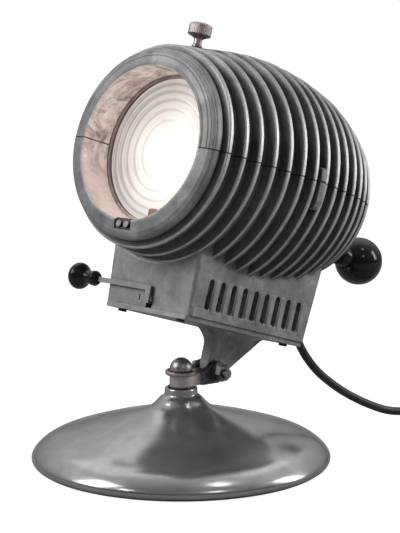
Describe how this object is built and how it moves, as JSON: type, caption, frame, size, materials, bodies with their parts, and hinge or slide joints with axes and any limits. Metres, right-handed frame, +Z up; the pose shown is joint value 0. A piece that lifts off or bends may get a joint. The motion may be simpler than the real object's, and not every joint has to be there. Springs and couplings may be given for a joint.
{
  "type": "fresnel spotlight",
  "caption": "Small table-standing fresnel spotlight: finned cast barrel over a vented lamp house, tilting on a forked knuckle above a round weighted dish base.",
  "frame": {"origin": "centre of the round base, on its underside (the face that rests on the table)", "axes": "+Z up along the stem; the lens faces -Y and is tilted up at rest; +X is the side with the lid latch"},
  "size_m": [0.25, 0.4655, 0.3652],
  "materials": {
    "cast_aluminium": "matte mottled sand casting, fin edges polished bright",
    "base_metal": "burnished with soft smudged reflections",
    "steel": "dull zinc plated",
    "nickel": "worn warm nickel plate",
    "black_knob": "glossy black moulded bakelite",
    "blackened_steel": "blackened steel",
    "lens_glass": "clear stepped glass",
    "bulb_glass": "clear glass",
    "tungsten": "tungsten wire",
    "mirror_metal": "polished spun reflector",
    "ceramic": "glazed steatite",
    "brass": "plain turned brass",
    "black_rubber": "satin black rubber",
    "felt": "pressed dark felt",
    "fibre": "dark vulcanised fibre",
    "lead_sleeve": "woven glass sleeving"
  },
  "bodies": {
    "base": {"base_dish": "base_metal", "base_pad": "felt", "stem_stud": "steel", "stud_washer": "steel", "stud_nut": "steel", "friction_washer": "fibre"},
    "swivel": {"swivel_arm": "nickel", "cap_washer": "steel", "tilt_bolt": "steel", "tilt_washers": "steel"},
    "cap_nut": {"cap_nut": "steel"},
    "tilt_nut": {"tilt_nut": "steel"},
    "head": {"lower_housing": "cast_aluminium", "bottom_plate": "cast_aluminium", "plate_screws": "blackened_steel", "lens_ring": "nickel", "fresnel_lens": "lens_glass", "lens_clips": "brass", "lens_clamp_ring": "steel", "catch_plate": "blackened_steel", "catch_screws": "nickel", "hinge_pins": "steel", "latch_pin": "steel", "handle_stud": "steel", "handle_ball": "black_knob", "rod_brackets": "steel", "bracket_screws": "blackened_steel", "guide_rods": "steel", "terminal_block": "ceramic", "terminal_screws": "brass", "inner_cord": "black_rubber", "cord_grommet": "black_rubber"},
    "lid": {"upper_shell": "cast_aluminium"},
    "lock_screw": {"lens_lock_screw": "nickel"},
    "latch": {"latch_lever": "cast_aluminium"},
    "carriage": {"lamp_carriage": "steel", "lamp_socket": "ceramic", "lamp_cap": "brass", "lamp_bulb": "bulb_glass", "lamp_filament": "tungsten", "reflector": "mirror_metal", "reflector_bracket": "steel", "focus_lever": "steel", "lever_screws": "steel", "focus_knob": "black_knob", "lamp_leads": "lead_sleeve"},
    "cord": {"power_cord": "black_rubber", "plug_body": "black_rubber", "plug_pins": "brass"}
  },
  "joints": [
    {"name": "pan", "type": "hinge", "parent": "base", "child": "swivel", "pos_m": [0, 0, 0.0688], "axis": [0, 0, 1], "continuous": true},
    {"name": "tilt", "type": "hinge", "parent": "swivel", "child": "head", "pos_m": [0, 0.03495, 0.07112], "axis": [1, 0, 0], "range_deg": [-32, 36]},
    {"name": "cap_nut_turn", "type": "hinge", "parent": "swivel", "child": "cap_nut", "pos_m": [0, 0, 0.08], "axis": [0, 0, 1], "continuous": true},
    {"name": "tilt_nut_turn", "type": "hinge", "parent": "swivel", "child": "tilt_nut", "pos_m": [0.0144, 0.03495, 0.07112], "axis": [1, 0, 0], "continuous": true},
    {"name": "focus", "type": "slide", "parent": "head", "child": "carriage", "axis": [0, -0.9558, 0.294], "range_m": [0, 0.032]},
    {"name": "lid_open", "type": "hinge", "parent": "head", "child": "lid", "pos_m": [-0.1045, 0.05422, 0.23918], "axis": [0, -0.9558, 0.294], "range_deg": [0, 105]},
    {"name": "lock_screw_turn", "type": "hinge", "parent": "lid", "child": "lock_screw", "pos_m": [0, 0.01674, 0.33808], "axis": [0, 0.294, 0.9558], "continuous": true},
    {"name": "latch_swing", "type": "hinge", "parent": "head", "child": "latch", "pos_m": [0.0925, 0.05638, 0.21969], "axis": [0, 0.9558, -0.294], "range_deg": [0, 100]},
    {"name": "cord_flex", "type": "hinge", "parent": "head", "child": "cord", "pos_m": [0.015, 0.11514, 0.10326], "axis": [1, 0, 0], "range_deg": [-48, 56]}
  ],
  "couplings": [
    {"joint": "cord_flex", "follows": "tilt", "ratio": -1.29}
  ]
}
